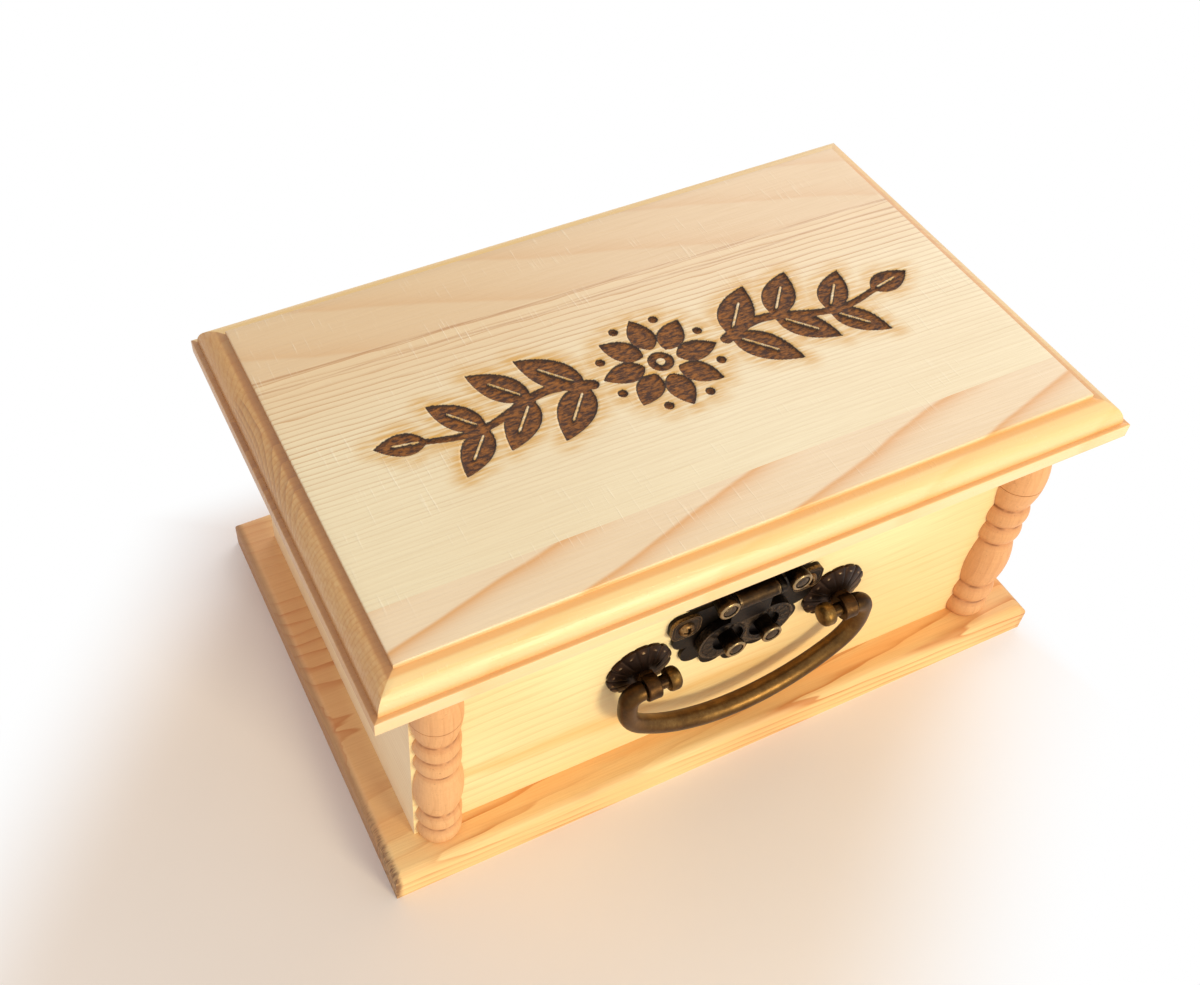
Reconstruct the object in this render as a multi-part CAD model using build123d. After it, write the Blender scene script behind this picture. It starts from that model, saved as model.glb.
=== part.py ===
from build123d import *
import math
import os

# A keepsake box of pine: base board, mitred walls, a moulded lid on a shallow frame, turned half-round
# strips at the front corners, a bail handle, a latch and two hinges.
# Millimetres, +Z up, +X to the right along the front, the front face looks to -Y.
# The origin is the middle of the base board's underside.

# Walls of the box and of the lid's frame
body_length = 204.6
body_depth = 121.0
body_height = 63.0
wall_thickness = 8.0
rail_height = 19.7
lid_seam = 0.3

# Base board, wider than the walls all round
base_side_margin = 10.7
base_front_margin = 11.3
base_thickness = 11.0
base_roundover = 3.0

# Lid board, which overhangs the walls, and the moulding on its four edges
lid_side_overhang = 12.7
lid_front_overhang = 11.4
lid_thickness = 13.0
lip_height = 5.2
ledge_width = 1.6
ovolo_width = 5.2
fillet_width = 2.0
fillet_step = 1.4

# Half-round turned strips: two rings and a barrel, repeated
barrel_radius = 7.5
ring_radius = 6.95
neck_radius = 5.8
ring_height = 8.0
barrel_height = 21.9
barrel_peak_share = 0.5
strip_lead = 0.1
strip_inset = 0.2
rings_per_repeat = 2

# Bail handle
bail_height = 54.5
bail_half_span = 32.6
bail_gap = 0.7
wire_radius = 2.9
grip_radius = 3.2
arm_lead = 0.5
elbow_radius = 3.8
arm_drop = 3.1
shoulder_radius = 15.5
shoulder_turn = 52.0
grip_stations = 9
pivot_radius = 2.0
knob_radius = 3.5
knob_thickness = 4.0
knob_bore_depth = 2.4
knob_round = 0.9
knob_standoff = 2.6

# Rosettes and eye posts that carry the bail
rosette_radius = 10.3
rosette_rim = 0.9
rosette_height = 3.0
rosette_boss_radius = 3.2
flute_count = 14
flute_radius = 0.75
flute_start_radius = 4.3
eye_radius = 3.7
eye_width = 4.2
eye_round = 0.4
post_neck_radius = 2.5
post_shank_radius = 1.9
washer_radius = 4.5
washer_thickness = 0.8
nut_across_flats = 7.0
nut_thickness = 3.2
post_end = 1.2

# Latch: plate on the box and the ears that clamp it
plate_thickness = 1.2
plate_width = 49.5
plate_height = 32.5
plate_drop = 1.0
lobe_radius = 4.6
lobe_shares = ((0.0, 0.86), (0.31, 0.775), (0.60, 0.615), (0.74, 0.365), (0.74, 0.15))
ear_width = 9.5
ear_height = 9.0
ear_thickness = 1.0
ear_corner = 3.0

# Latch: hinged leaf, its wells and studs
leaf_gap = 0.4
leaf_thickness = 2.4
leaf_lobe_radius = 8.0
leaf_lobe_spacing = 15.0
leaf_drop = 18.0
leaf_waist = 13.2
well_radius = 5.0
well_depth = 1.4
well_spacing = 12.0
stud_radius = 3.2
stud_shaft_radius = 2.6
stud_ring = 1.7
stud_reach = 8.4
stud_dish_radius = 2.1
stud_dish_depth = 0.4
rivet_radius = 1.1

# Latch: plate on the lid and the hinge of the leaf
lid_plate_width = 45.0
lid_plate_height = 14.0
lid_plate_corner = 4.0
lid_plate_gap = 0.8
latch_axis_rise = 1.4
latch_knuckle_radius = 2.5
leaf_knuckle_length = 13.0
side_knuckle_length = 1.8
latch_pin_radius = 1.1
lid_stud_spacing = 23.1
lid_stud_rise = 5.2
lid_screw_spacing = 36.0

# Hinges at the back
hinge_end_margin = 27.8
hinge_width = 25.0
hinge_leaf_height = 14.0
hinge_leaf_thickness = 1.2
hinge_edge_gap = 2.4
hinge_knuckle_radius = 2.0
hinge_pin_radius = 1.0
hinge_knuckles = 3
hinge_screw_spacing = 14.0

# Wood screws
screw_shank_radius = 1.3
screw_length = 7.0
screw_head_radius = 2.6
screw_head_height = 1.6
screw_tip = 2.0

# Clearances
running_clearance = 0.06
press_clearance = 0.03
shank_clearance = 0.15
side_gap = 0.3
overrun = 1.0

# Sizes and levels that the pieces share
base_length = body_length + 2 * base_side_margin
base_depth = body_depth + 2 * base_front_margin
lid_length = body_length + 2 * lid_side_overhang
lid_depth = body_depth + 2 * lid_front_overhang
body_top = base_thickness + body_height
rail_bottom = body_top + lid_seam
lid_bottom = rail_bottom + rail_height
bail_offset = rosette_height + knob_radius + bail_gap
latch_axis_z = rail_bottom + latch_axis_rise
latch_axis_offset = plate_thickness + side_gap + latch_knuckle_radius
hinge_axis_z = body_top + lid_seam / 2
hinge_axis_offset = hinge_knuckle_radius + side_gap
hinge_spacing = body_length - 2 * hinge_end_margin - hinge_width
plate_top = body_top - plate_drop
leaf_back = plate_thickness + leaf_gap
leaf_center_z = latch_axis_z - leaf_drop


def front_at(x, z, offset=0):
    """A plane on the front face at x and z, its normal pointing out of the box."""
    return Plane(origin=(x, -body_depth / 2 - offset, z), x_dir=(1, 0, 0), z_dir=(0, -1, 0))


def back_at(x, z, offset=0):
    """A plane on the back face at x and z, its normal pointing out of the box."""
    return Plane(origin=(x, body_depth / 2 + offset, z), x_dir=(-1, 0, 0), z_dir=(0, 1, 0))


def rod(radius, length):
    """A cylinder that stands on its plane."""
    return Cylinder(radius, length, align=(Align.CENTER, Align.CENTER, Align.MIN))


def cross_rod(radius, length):
    """A cylinder along local X, centred."""
    return Rot(Y=90) * Cylinder(radius, length)


def pair(spacing):
    """The two places of a mirrored pair."""
    return (-spacing / 2, spacing / 2)


def base_board():
    """The board under the box, rounded over along its top edges."""
    board = Pos(Z=base_thickness / 2) * Box(base_length, base_depth, base_thickness)
    return fillet(board.edges().group_by(Axis.Z)[-1], base_roundover)


def mitred_wall(side, bottom, height):
    """One wall of a rectangular frame, mitred at both ends."""
    outer_x, outer_y = body_length / 2, body_depth / 2
    inner_x, inner_y = outer_x - wall_thickness, outer_y - wall_thickness
    front = [(-outer_x, -outer_y), (outer_x, -outer_y), (inner_x, -inner_y), (-inner_x, -inner_y)]
    right = [(outer_x, -outer_y), (outer_x, outer_y), (inner_x, inner_y), (inner_x, -inner_y)]
    outlines = {
        "front": front,
        "back": [(x, -y) for x, y in front],
        "right": right,
        "left": [(-x, y) for x, y in right],
    }
    outline = make_face(Polyline(*outlines[side], close=True))
    return Pos(Z=bottom) * extrude(outline, amount=height, dir=(0, 0, 1))


def moulded_section(width):
    """Section of the lid board: lip, ledge, ovolo and a small fillet under the top, on both edges."""
    half = width / 2
    ovolo_foot = (half - ledge_width, lip_height)
    ovolo_top = (ovolo_foot[0] - ovolo_width, lid_thickness - fillet_step)
    fillet_foot = (ovolo_top[0] - fillet_width, ovolo_top[1])
    arris = (fillet_foot[0], lid_thickness)
    edge = Polyline((half, 0), (half, lip_height), ovolo_foot)
    edge += TangentArc(ovolo_foot, ovolo_top, tangent=(0, 1))
    edge += Polyline(ovolo_top, fillet_foot, arris, (0, lid_thickness), (0, 0), (half, 0))
    right_half = make_face(edge)
    return right_half + mirror(right_half, Plane.YZ)


def lid_board():
    """The lid board: two moulded bars that cross, so the mouldings meet in mitres."""
    along_x = Plane(origin=(-lid_length / 2, 0, lid_bottom), x_dir=(0, 1, 0), z_dir=(1, 0, 0))
    along_y = Plane(origin=(0, lid_depth / 2, lid_bottom), x_dir=(1, 0, 0), z_dir=(0, -1, 0))
    long_bar = along_x * extrude(moulded_section(lid_depth), amount=lid_length)
    cross_bar = along_y * extrude(moulded_section(lid_length), amount=lid_depth)
    return long_bar & cross_bar


def strip_turning():
    """The full turning of a strip, from its cut lower end past the lid board."""
    repeat_height = rings_per_repeat * ring_height + barrel_height
    repeats = math.ceil((strip_lead + lid_bottom - base_thickness) / repeat_height)
    level = base_thickness - strip_lead
    edge = Line((0, level), (neck_radius, level))
    for _ in range(repeats):
        for _ in range(rings_per_repeat):
            middle = (ring_radius, level + ring_height / 2)
            end = (neck_radius, level + ring_height)
            edge += ThreePointArc((neck_radius, level), middle, end)
            level += ring_height
        peak = (barrel_radius, level + barrel_peak_share * barrel_height)
        end = (neck_radius, level + barrel_height)
        edge += TangentArc(peak, (neck_radius, level), tangent=(0, -1))
        edge += TangentArc(peak, end, tangent=(0, 1))
        level += barrel_height
    edge += Polyline((neck_radius, level), (0, level), (0, base_thickness - strip_lead))
    section = Plane.XZ * make_face(edge)
    return revolve(section, Axis.Z)


def strip_piece(turning, side, bottom, top):
    """The front half of a turning between two levels, flat against the front face."""
    x = side * (body_length / 2 - strip_inset - barrel_radius)
    width = 2 * barrel_radius + overrun
    keep = Pos(0, -width / 2, (bottom + top) / 2) * Box(width, width, top - bottom)
    return Pos(x, -body_depth / 2, 0) * (turning & keep)


def wood_screw():
    """A round-headed wood screw on its seat, the shank pointing into the wood."""
    head = fillet(rod(screw_head_radius, screw_head_height).edges().group_by(Axis.Z)[-1],
                  screw_head_height / 2)
    shank_length = screw_length - screw_tip
    shank = Pos(Z=-shank_length) * rod(screw_shank_radius, shank_length)
    tip = Pos(Z=-shank_length - screw_tip / 2) * Cone(0, screw_shank_radius, screw_tip)
    return head + shank + tip


def screw_hole():
    """The hole that a wood screw needs, through what it holds and into the wood."""
    depth = screw_length + side_gap
    return Pos(Z=-depth) * rod(screw_shank_radius + running_clearance, depth + screw_length)


def bail_sides():
    """The two ends of the bail: the side's sign and its eye's x."""
    return [(side, side * bail_half_span) for side in (-1, 1)]


def rosette(x):
    """A domed disc with radial flutes and a flat boss, bored for the eye post."""
    rim_slope = (rosette_radius, rosette_rim)
    boss_edge = (rosette_boss_radius, rosette_height)
    edge = Polyline((0, 0), (rosette_radius, 0), rim_slope)
    edge += TangentArc(boss_edge, rim_slope, tangent=(1, 0))
    edge += Polyline(boss_edge, (0, rosette_height), (0, 0))
    disc = revolve(Plane.XZ * make_face(edge), Axis.Z)
    rise = rosette_height - rosette_rim
    start = Vector(flute_start_radius, 0, rosette_height + flute_radius / 2)
    end = Vector(rosette_radius, 0, rosette_rim + flute_radius / 2)
    groove = Plane(origin=start, z_dir=end - start) * rod(flute_radius, (end - start).length + rise)
    for index in range(flute_count):
        disc -= Rot(Z=360 * index / flute_count) * groove
    disc -= rod(post_shank_radius + running_clearance, rosette_height + overrun)
    return front_at(x, bail_height) * disc


def eye_post(x):
    """A threaded post with a shoulder on the rosette and an eye across its outer end."""
    eye = cross_rod(eye_radius, eye_width)
    eye = fillet(eye.edges().filter_by(GeomType.CIRCLE), eye_round)
    eye = Pos(Z=bail_offset) * eye
    neck_top = bail_offset - knob_radius - side_gap
    neck = Pos(Z=rosette_height) * rod(post_neck_radius, neck_top - rosette_height)
    tongue = Box(eye_width, 2 * post_neck_radius, bail_offset - neck_top,
                 align=(Align.CENTER, Align.CENTER, Align.MIN))
    neck += Pos(Z=neck_top) * tongue
    depth = wall_thickness + washer_thickness + nut_thickness + post_end
    shank = Pos(Z=-depth) * rod(post_shank_radius, depth + rosette_height)
    bore = Pos(Z=bail_offset) * cross_rod(pivot_radius + running_clearance, eye_width + overrun)
    return front_at(x, bail_height) * (eye + neck + shank - bore)


def post_hole(x):
    """The hole of an eye post in the front panel."""
    depth = wall_thickness + 2 * overrun
    hole = Pos(Z=-wall_thickness - overrun) * rod(post_shank_radius + shank_clearance, depth)
    return front_at(x, bail_height) * hole


def post_washer(x):
    """The washer of an eye post, on the inner side of the front panel."""
    ring = rod(washer_radius, washer_thickness)
    ring -= rod(post_shank_radius + shank_clearance, washer_thickness)
    return front_at(x, bail_height) * Pos(Z=-wall_thickness - washer_thickness) * ring


def post_nut(x):
    """The hexagon nut of an eye post, under its washer."""
    hexagon = RegularPolygon(nut_across_flats / 2, 6, major_radius=False)
    nut = extrude(hexagon, amount=nut_thickness)
    nut -= rod(post_shank_radius + running_clearance, nut_thickness)
    seat = -wall_thickness - washer_thickness - nut_thickness
    return front_at(x, bail_height) * Pos(Z=seat) * nut


def bail_handle():
    """The bail: two bent arms, a grip that swells to its middle, and a pivot at each end."""
    shoulder_x = bail_half_span + eye_width / 2 + side_gap
    lead = Line((shoulder_x, 0), (shoulder_x + arm_lead, 0))
    elbow = JernArc(lead @ 1, (1, 0), elbow_radius, -90)
    drop = Line(elbow @ 1, elbow @ 1 - Vector(0, arm_drop))
    sweep_down = JernArc(drop @ 1, (0, -1), shoulder_radius, -shoulder_turn)
    section = Plane(origin=lead @ 0, z_dir=(1, 0, 0)) * Circle(wire_radius)
    arm = sweep(section, path=Curve() + [lead, elbow, drop, sweep_down])
    pivot_length = eye_width + 2 * side_gap + knob_standoff + knob_bore_depth
    arm += Pos(shoulder_x - pivot_length / 2, 0) * cross_rod(pivot_radius, pivot_length)
    rest_turn = 90 - shoulder_turn
    grip_end = sweep_down @ 1
    bow_radius = grip_end.X / math.sin(math.radians(rest_turn))
    bow_center = grip_end.Y + bow_radius * math.cos(math.radians(rest_turn))
    sections = []
    for index in range(grip_stations):
        share = 2 * index / (grip_stations - 1) - 1
        turn = math.radians(share * rest_turn)
        radius = wire_radius + (grip_radius - wire_radius) * (1 - share * share)
        place = (bow_radius * math.sin(turn), bow_center - bow_radius * math.cos(turn), 0)
        along = (math.cos(turn), math.sin(turn), 0)
        sections.append(Plane(origin=place, x_dir=(0, 0, 1), z_dir=along) * Circle(radius))
    bail = arm + mirror(arm, Plane.YZ) + loft(sections)
    return front_at(0, bail_height, bail_offset) * bail


def bail_knob(side, x):
    """A rounded knob pressed on a pivot's inner end, a short way off the eye."""
    knob = fillet(rod(knob_radius, knob_thickness).edges(), knob_round)
    knob -= rod(pivot_radius + press_clearance, knob_bore_depth + press_clearance)
    start = x - side * (eye_width / 2 + side_gap + knob_standoff)
    place = Plane(origin=(start, -body_depth / 2 - bail_offset, bail_height), z_dir=(-side, 0, 0))
    return place * knob


def lobe_places():
    """Centres of the scallops on the right half of the plate on the box, down from its top edge."""
    return [(across * plate_width / 2, -down * plate_height) for across, down in lobe_shares]


def ear_places():
    """Middles of the ears at both upper corners of the plate on the box, where its screws sit."""
    x = plate_width / 2 - ear_width / 2
    return [(side * x, -ear_height / 2) for side in (-1, 1)]


def ear_outline():
    """The outline of an ear."""
    return RectangleRounded(ear_width, ear_height, ear_corner)


def latch_box_plate():
    """The scalloped plate on the front panel, squared at its upper corners to carry the ears."""
    places = lobe_places()
    half = make_face(Polyline((0, 0), *places, (places[-1][0], 0), close=True))
    for place in places:
        half += Pos(*place) * Circle(lobe_radius)
    outline = half + mirror(half, Plane.YZ)
    for place in ear_places():
        outline += Pos(*place) * ear_outline()
    plate = extrude(outline, amount=plate_thickness)
    for place in ear_places():
        plate -= Pos(*place) * screw_hole()
    return front_at(0, plate_top) * plate


def latch_box_ear(place):
    """A rounded ear on the plate, bored for its screw."""
    ear = extrude(ear_outline(), amount=ear_thickness) - screw_hole()
    return front_at(0, plate_top, plate_thickness) * Pos(*place) * ear


def box_plate_screw_places():
    """Seats of the screws that hold the plate on the box."""
    seat = plate_thickness + ear_thickness
    return [front_at(0, plate_top, seat) * Pos(x, y) for x, y in ear_places()]


def lid_plate_screw_places():
    """Seats of the screws that hold the plate on the lid's front rail."""
    z = rail_bottom + lid_plate_gap + lid_plate_height / 2
    return [front_at(x, z, plate_thickness) for x in pair(lid_screw_spacing)]


def stud(seat, floor):
    """A stud with a dished ring end, riveted through the metal between its seat and that metal's back."""
    length = stud_reach - seat
    body = rod(stud_shaft_radius, length - stud_ring)
    ring = Pos(Z=length - stud_ring) * rod(stud_radius, stud_ring)
    dish = Pos(Z=length - stud_dish_depth) * rod(stud_dish_radius, stud_dish_depth)
    rivet = Pos(Z=-floor) * rod(rivet_radius, floor)
    return body + ring + rivet - dish


def latch_hinge(radius, length):
    """A cylinder on the axis of the latch's hinge."""
    return front_at(0, latch_axis_z, latch_axis_offset) * cross_rod(radius, length)


def hasp_leaf():
    """The hinged leaf: two round lobes with a well each, a neck and the middle knuckle."""
    outline = Rectangle(leaf_lobe_spacing, leaf_waist)
    for x in pair(leaf_lobe_spacing):
        outline += Pos(X=x) * Circle(leaf_lobe_radius)
    outline += Pos(Y=leaf_drop / 2) * Rectangle(leaf_knuckle_length, leaf_drop)
    leaf = extrude(outline, amount=leaf_thickness)
    for x in pair(well_spacing):
        leaf -= Pos(x, 0, leaf_thickness - well_depth) * rod(well_radius, well_depth)
        leaf -= Pos(X=x) * rod(rivet_radius + press_clearance, leaf_thickness)
    leaf = front_at(0, leaf_center_z, leaf_back) * leaf
    leaf += latch_hinge(latch_knuckle_radius, leaf_knuckle_length)
    return leaf - latch_hinge(latch_pin_radius + running_clearance, leaf_knuckle_length + overrun)


def hasp_studs():
    """The studs that stand in the wells of the leaf."""
    floor = leaf_thickness - well_depth
    seat = leaf_back + floor
    places = [front_at(x, leaf_center_z, seat) for x in pair(well_spacing)]
    return [place * stud(seat, floor) for place in places]


def latch_lid_plate():
    """The plate on the lid's front rail with the two side knuckles of the latch's hinge."""
    bottom = rail_bottom + lid_plate_gap
    plate = extrude(RectangleRounded(lid_plate_width, lid_plate_height, lid_plate_corner),
                    amount=plate_thickness)
    plate = front_at(0, bottom + lid_plate_height / 2) * plate
    middle = leaf_knuckle_length + 2 * side_gap + side_knuckle_length
    for x in pair(middle):
        center = front_at(x, latch_axis_z, latch_axis_offset)
        web = Box(side_knuckle_length, latch_knuckle_radius, latch_axis_offset,
                  align=(Align.CENTER, Align.MIN, Align.MAX))
        plate += center * cross_rod(latch_knuckle_radius, side_knuckle_length)
        plate += center * web
    for x in pair(lid_stud_spacing):
        hole = rod(rivet_radius + press_clearance, plate_thickness)
        plate -= front_at(x, rail_bottom + lid_stud_rise) * hole
    for place in lid_plate_screw_places():
        plate -= place * screw_hole()
    return plate - latch_hinge(latch_pin_radius + running_clearance, middle + 2 * side_knuckle_length)


def latch_lid_studs():
    """The studs on the lid's plate, above both ends of the hinge."""
    seat = plate_thickness
    z = rail_bottom + lid_stud_rise
    places = [front_at(x, z, seat) for x in pair(lid_stud_spacing)]
    return [place * stud(seat, seat) for place in places]


def hasp_pin():
    """The pin through the knuckles of the latch's hinge."""
    return latch_hinge(latch_pin_radius, leaf_knuckle_length + 2 * side_gap + 2 * side_knuckle_length)


def hinge_axis(side):
    """The plane on a hinge's axis at the back, local X along the axis."""
    return back_at(side * hinge_spacing / 2, hinge_axis_z, hinge_axis_offset)


def hinge_leaf(side, direction):
    """One leaf of a back hinge: the box's has the outer knuckles, the lid's the inner ones."""
    pitch = hinge_width / hinge_knuckles
    first = 0 if direction < 0 else 1
    middle = direction * (hinge_edge_gap + hinge_leaf_height / 2)
    leaf = Pos(0, middle, hinge_leaf_thickness / 2 - hinge_axis_offset)
    leaf = leaf * Box(hinge_width, hinge_leaf_height, hinge_leaf_thickness)
    for index in range(first, hinge_knuckles, 2):
        x = (index + 0.5) * pitch - hinge_width / 2
        leaf += Pos(X=x) * cross_rod(hinge_knuckle_radius, pitch - side_gap)
        web = Box(pitch - side_gap, hinge_edge_gap, hinge_leaf_thickness)
        leaf += Pos(x, direction * hinge_edge_gap / 2, hinge_leaf_thickness / 2 - hinge_knuckle_radius) * web
    leaf -= cross_rod(hinge_pin_radius + running_clearance, hinge_width + overrun)
    leaf = hinge_axis(side) * leaf
    for place in hinge_screw_places(side, direction):
        leaf -= place * screw_hole()
    return leaf


def hinge_screw_places(side, direction):
    """Seats of the two screws in a leaf of a back hinge."""
    z = hinge_axis_z + direction * (hinge_edge_gap + hinge_leaf_height / 2)
    x = side * hinge_spacing / 2
    return [back_at(x + step, z, hinge_leaf_thickness) for step in pair(hinge_screw_spacing)]


def hinge_pin(side):
    """The pin of a back hinge."""
    return hinge_axis(side) * cross_rod(hinge_pin_radius, hinge_width)


def drilled(wood, places):
    """A wall with the holes of the screws whose seats are given."""
    for place in places:
        wood -= place * screw_hole()
    return wood


def build_nodes():
    """Every piece by its name; a list is a group of like pieces."""
    sides = {"left": -1, "right": 1}
    box_hinge_screws = [place for side in (-1, 1) for place in hinge_screw_places(side, -1)]
    lid_hinge_screws = [place for side in (-1, 1) for place in hinge_screw_places(side, 1)]
    nodes = {"base_board": base_board(), "lid_board": lid_board()}

    names = ("front", "back", "left", "right")
    walls = {name: mitred_wall(name, base_thickness, body_height) for name in names}
    walls["front"] = drilled(walls["front"], box_plate_screw_places())
    for _, x in bail_sides():
        walls["front"] -= post_hole(x)
    walls["back"] = drilled(walls["back"], box_hinge_screws)
    rails = {name: mitred_wall(name, rail_bottom, rail_height) for name in names}
    rails["front"] = drilled(rails["front"], lid_plate_screw_places())
    rails["back"] = drilled(rails["back"], lid_hinge_screws)
    for name in names:
        nodes[f"{name}_panel"] = walls[name]
        nodes[f"lid_{name}_rail"] = rails[name]

    turning = strip_turning()
    for name, side in sides.items():
        x = side * bail_half_span
        nodes[f"{name}_strip"] = strip_piece(turning, side, base_thickness, body_top)
        nodes[f"{name}_strip_top"] = strip_piece(turning, side, rail_bottom, lid_bottom)
        nodes[f"{name}_rosette"] = rosette(x)
        nodes[f"{name}_eye_post"] = eye_post(x)
        nodes[f"{name}_hinge_box_leaf"] = hinge_leaf(side, -1)
        nodes[f"{name}_hinge_lid_leaf"] = hinge_leaf(side, 1)
        nodes[f"{name}_hinge_pin"] = hinge_pin(side)

    nodes["post_washers"] = [post_washer(x) for _, x in bail_sides()]
    nodes["post_nuts"] = [post_nut(x) for _, x in bail_sides()]
    nodes["bail_handle"] = bail_handle()
    nodes["bail_knobs"] = [bail_knob(side, x) for side, x in bail_sides()]

    nodes["latch_box_plate"] = latch_box_plate()
    nodes["latch_box_ears"] = [latch_box_ear(place) for place in ear_places()]
    nodes["latch_lid_plate"] = latch_lid_plate()
    nodes["latch_lid_studs"] = latch_lid_studs()
    nodes["hasp_leaf"] = hasp_leaf()
    nodes["hasp_studs"] = hasp_studs()
    nodes["hasp_pin"] = hasp_pin()

    nodes["latch_box_screws"] = [place * wood_screw() for place in box_plate_screw_places()]
    nodes["latch_lid_screws"] = [place * wood_screw() for place in lid_plate_screw_places()]
    nodes["hinge_box_screws"] = [place * wood_screw() for place in box_hinge_screws]
    nodes["hinge_lid_screws"] = [place * wood_screw() for place in lid_hinge_screws]
    return nodes


os.makedirs("parts", exist_ok=True)
for node_name, shape in build_nodes().items():
    solids = shape if isinstance(shape, list) else [shape]
    export_step(Compound(children=[Part(piece.wrapped) for piece in solids]), f"parts/{node_name}.step")
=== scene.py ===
# %% [markdown]
# # A pine keepsake box
# This lesson dresses a CAD model of a small wooden box: a moulded lid with a burnt ornament, turned corner
# strips, a bail handle and a latch of dark bronze. The CAD model is the fixed frame. We give it wood and
# metal, and replace the pieces whose fine shape shows: the carved lid, the bail with its knobs, the rosettes,
# the screws and the studs.

# %% Load the frame
import math

import bmesh
import bpy
import numpy as np
from mathutils import Matrix, Vector


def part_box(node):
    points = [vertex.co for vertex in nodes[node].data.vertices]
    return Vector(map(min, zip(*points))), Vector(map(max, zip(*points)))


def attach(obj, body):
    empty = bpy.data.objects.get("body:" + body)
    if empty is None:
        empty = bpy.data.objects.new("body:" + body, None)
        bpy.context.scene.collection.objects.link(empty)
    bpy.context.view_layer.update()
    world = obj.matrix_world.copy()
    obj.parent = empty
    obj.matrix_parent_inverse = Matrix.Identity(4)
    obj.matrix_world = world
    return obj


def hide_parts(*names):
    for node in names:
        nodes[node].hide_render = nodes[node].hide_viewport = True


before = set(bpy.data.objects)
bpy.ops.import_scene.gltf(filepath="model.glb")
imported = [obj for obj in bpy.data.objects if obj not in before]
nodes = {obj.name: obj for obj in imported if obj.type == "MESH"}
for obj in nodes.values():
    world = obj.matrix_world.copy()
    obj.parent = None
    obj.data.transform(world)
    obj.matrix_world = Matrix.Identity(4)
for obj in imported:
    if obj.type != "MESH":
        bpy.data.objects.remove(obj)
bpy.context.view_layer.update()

MM = 0.001

# %% [markdown]
# ## The camera
# The photograph looks down on the front left corner and is cropped off centre. A camera turned to the middle
# of the picture would draw the box's lines at other angles, so the camera keeps its own aim, and its picture
# is moved by a lens shift, as on a view camera. Place, aim and focal length were fitted to the box's corners.

# %% Camera
EYE = Vector((-0.16497, -0.23007, 0.38153))
AIM = Vector((-0.0471, 0.02531, 0.06286))
SHIFT = (0.1141, -0.0308)
FOCAL_PIXELS, FRAME_WIDTH, SENSOR = 1365.7, 1200, 36.0

forward = (AIM - EYE).normalized()
right = forward.cross(Vector((0, 0, 1))).normalized()
camera = bpy.data.objects.new("camera", bpy.data.cameras.new("camera"))
camera.data.sensor_width = SENSOR
camera.data.lens = SENSOR * FOCAL_PIXELS / FRAME_WIDTH
camera.data.shift_x, camera.data.shift_y = SHIFT
camera.data.clip_start = 0.01
camera.matrix_world = Matrix((right, right.cross(forward), -forward)).transposed().to_4x4()
camera.matrix_world.translation = EYE
bpy.context.scene.collection.objects.link(camera)
bpy.context.scene.camera = camera
print("focal length in mm:", round(camera.data.lens, 1))

# %% [markdown]
# ## Shader maths as Python
# A material is a graph of nodes. Written out link by link it is hard to read, so one small class wraps a
# socket: adding, multiplying or comparing two wires adds a Math node. Every other node comes from one method,
# `add`, that takes the node's type, its settings and its inputs.

# %% The wire class
def operator(operation, reflected=False):
    """A method that adds one Math node on a wire and what it meets; reflected puts the wire second."""
    def method(wire, *other):
        values = (*other, wire) if reflected else (wire, *other)
        return Wire.add(wire.tree, "ShaderNodeMath", {"operation": operation}, dict(enumerate(values)))
    return method


class Wire:
    """A socket that takes part in Python arithmetic; each operation adds one Math node to its tree."""

    __add__, __radd__ = operator("ADD"), operator("ADD", True)
    __sub__, __rsub__ = operator("SUBTRACT"), operator("SUBTRACT", True)
    __mul__, __rmul__ = operator("MULTIPLY"), operator("MULTIPLY", True)
    __truediv__, __pow__ = operator("DIVIDE"), operator("POWER")
    __gt__, __lt__ = operator("GREATER_THAN"), operator("LESS_THAN")
    least, most = operator("MINIMUM"), operator("MAXIMUM")
    __abs__, fraction, sine = operator("ABSOLUTE"), operator("FRACT"), operator("SINE")
    angle = operator("ARCTAN2")

    def __init__(self, tree, socket):
        self.tree, self.socket = tree, socket

    @staticmethod
    def add(tree, kind, settings=None, inputs=None, output=0):
        """Add a node of this kind, set its settings first, then link or set its inputs; gives one output."""
        node = tree.nodes.new(kind)
        for key, value in (settings or {}).items():
            setattr(node, key, value)
        for key, value in (inputs or {}).items():
            if isinstance(value, Wire):
                tree.links.new(value.socket, node.inputs[key])
            else:
                node.inputs[key].default_value = value
        return Wire(tree, node.outputs[output] if node.outputs else None)

    def smooth(self, low, high):
        """0 below low, 1 above high, and a smooth rise between; low may lie above high for a fall."""
        flip = low > high
        span = (high, low, 1.0, 0.0) if flip else (low, high, 0.0, 1.0)
        keys = ("From Min", "From Max", "To Min", "To Max")
        return Wire.add(self.tree, "ShaderNodeMapRange", {"interpolation_type": "SMOOTHSTEP"},
                        {"Value": self, **dict(zip(keys, span))})

    def blend(self, first, second):
        """A colour mix with this wire as its factor."""
        return Wire.add(self.tree, "ShaderNodeMix", {"data_type": "RGBA"},
                        {0: self, 6: rgba(first), 7: rgba(second)}, output=2)


print("the wire class has", sum(callable(v) for v in vars(Wire).values()), "methods")

# %% [markdown]
# ## Parts of every material
# Colours are written as they look on a screen, from 0 to 255, and turned to linear light here. Every material
# starts with the object's own coordinates in millimetres, so a pattern stays on its piece when the piece
# moves, and ends in one Principled shader.

# %% Material helpers
def rgba(colour):
    """A wire as it is, or a colour written as eight-bit screen values, turned to linear light."""
    if isinstance(colour, Wire):
        return colour
    screen = np.array(colour) / 255
    linear = np.where(screen <= 0.04045, screen / 12.92, ((screen + 0.055) / 1.055) ** 2.4)
    return (*linear.tolist(), 1.0)


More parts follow.
